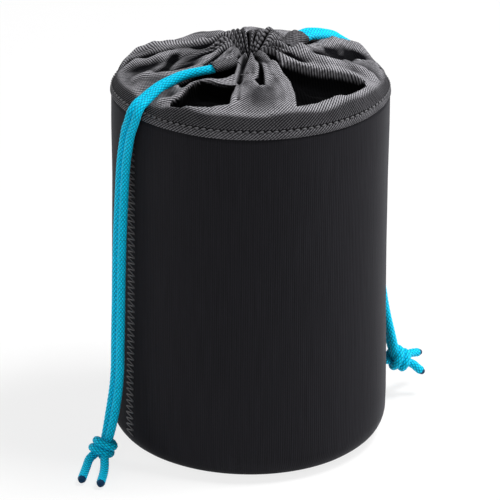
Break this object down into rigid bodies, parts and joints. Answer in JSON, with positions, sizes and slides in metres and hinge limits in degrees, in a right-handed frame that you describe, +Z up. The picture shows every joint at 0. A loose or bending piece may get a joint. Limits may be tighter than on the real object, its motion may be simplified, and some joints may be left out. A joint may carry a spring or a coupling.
{
  "type": "lens pouch",
  "caption": "Padded cylindrical lens pouch with a neoprene sleeve and base, a gathered fabric collar, and knotted drawcords that close its mouth.",
  "frame": {"origin": "middle of the underside of the base", "axes": "+Z up along the pouch, -Y towards the viewer of the picture"},
  "size_m": [0.1279, 0.1064, 0.1551],
  "materials": {
    "neoprene": "matt black jersey face on foam rubber",
    "twill": "dark grey twill weave",
    "lining": "brushed knit",
    "foam": "closed-cell foam",
    "thread": "black sewing thread",
    "braid": "bright blue braided polyester"
  },
  "bodies": {
    "pouch": {"outer_sleeve": "neoprene", "sleeve_lining": "lining", "base_disc": "neoprene", "base_pad": "foam", "base_lining": "lining", "base_seam_thread": "thread", "side_seam_thread": "thread", "collar_band": "twill", "rim_topstitch": "thread", "left_cord_hang_a": "braid", "left_cord_hang_b": "braid", "right_cord_hang_a": "braid", "right_cord_hang_b": "braid"},
    "gore_1": {"collar_gore_1": "twill", "channel_cord_run_1": "braid"},
    "gore_2": {"collar_gore_2": "twill", "channel_cord_run_2": "braid"},
    "gore_3": {"collar_gore_3": "twill", "channel_cord_run_3": "braid"},
    "gore_4": {"collar_gore_4": "twill", "channel_cord_run_4": "braid", "right_channel_exit": "twill", "right_cord_lead_a": "braid", "right_cord_lead_b": "braid"},
    "gore_5": {"collar_gore_5": "twill", "channel_cord_run_5": "braid"},
    "gore_6": {"collar_gore_6": "twill", "channel_cord_run_6": "braid"},
    "gore_7": {"collar_gore_7": "twill", "channel_cord_run_7": "braid"},
    "gore_8": {"collar_gore_8": "twill", "channel_cord_run_8": "braid", "left_channel_exit": "twill", "left_cord_lead_a": "braid", "left_cord_lead_b": "braid"},
    "left_knot": {"left_cord_knot": "braid", "left_cord_tail_a": "braid", "left_cord_tail_b": "braid"},
    "right_knot": {"right_cord_knot": "braid", "right_cord_tail_a": "braid", "right_cord_tail_b": "braid"}
  },
  "joints": [
    {"name": "mouth_open", "type": "hinge", "parent": "pouch", "child": "gore_1", "pos_m": [-0.00815, -0.04872, 0.1374], "axis": [0.9863, -0.165, 0], "range_deg": [0, 68]},
    {"name": "gore_2_lift", "type": "hinge", "parent": "pouch", "child": "gore_2", "pos_m": [0.0247, -0.04278, 0.1374], "axis": [0.866, 0.5, 0], "range_deg": [0, 68]},
    {"name": "gore_3_lift", "type": "hinge", "parent": "pouch", "child": "gore_3", "pos_m": [0.04783, -0.01237, 0.1374], "axis": [0.2504, 0.9681, 0], "range_deg": [0, 68]},
    {"name": "gore_4_lift", "type": "hinge", "parent": "pouch", "child": "gore_4", "pos_m": [0.04143, 0.02691, 0.1374], "axis": [-0.5446, 0.8387, 0], "range_deg": [0, 68]},
    {"name": "gore_5_lift", "type": "hinge", "parent": "pouch", "child": "gore_5", "pos_m": [0.01069, 0.04823, 0.1374], "axis": [-0.9763, 0.2164, 0], "range_deg": [0, 68]},
    {"name": "gore_6_lift", "type": "hinge", "parent": "pouch", "child": "gore_6", "pos_m": [-0.02654, 0.04166, 0.1374], "axis": [-0.8434, -0.5373, 0], "range_deg": [0, 68]},
    {"name": "gore_7_lift", "type": "hinge", "parent": "pouch", "child": "gore_7", "pos_m": [-0.04832, 0.01027, 0.1374], "axis": [-0.2079, -0.9781, 0], "range_deg": [0, 68]},
    {"name": "gore_8_lift", "type": "hinge", "parent": "pouch", "child": "gore_8", "pos_m": [-0.03997, -0.02904, 0.1374], "axis": [0.5878, -0.809, 0], "range_deg": [0, 68]},
    {"name": "left_cord_draw", "type": "slide", "parent": "pouch", "child": "left_knot", "axis": [0.0424, 0.0265, 0.9987], "range_m": [0, 0.11], "deforming": ["left_cord_hang_a", "left_cord_hang_b"]},
    {"name": "right_cord_draw", "type": "slide", "parent": "pouch", "child": "right_knot", "axis": [-0.0453, -0.0211, 0.9987], "range_m": [0, 0.11], "deforming": ["right_cord_hang_a", "right_cord_hang_b"]}
  ],
  "couplings": [
    {"joint": "gore_2_lift", "follows": "mouth_open", "ratio": 1},
    {"joint": "gore_3_lift", "follows": "mouth_open", "ratio": 1},
    {"joint": "gore_4_lift", "follows": "mouth_open", "ratio": 1},
    {"joint": "gore_5_lift", "follows": "mouth_open", "ratio": 1},
    {"joint": "gore_6_lift", "follows": "mouth_open", "ratio": 1},
    {"joint": "gore_7_lift", "follows": "mouth_open", "ratio": 1},
    {"joint": "gore_8_lift", "follows": "mouth_open", "ratio": 1},
    {"joint": "left_cord_draw", "follows": "mouth_open", "m_per_rad": 0.09259},
    {"joint": "right_cord_draw", "follows": "mouth_open", "m_per_rad": 0.09259}
  ]
}
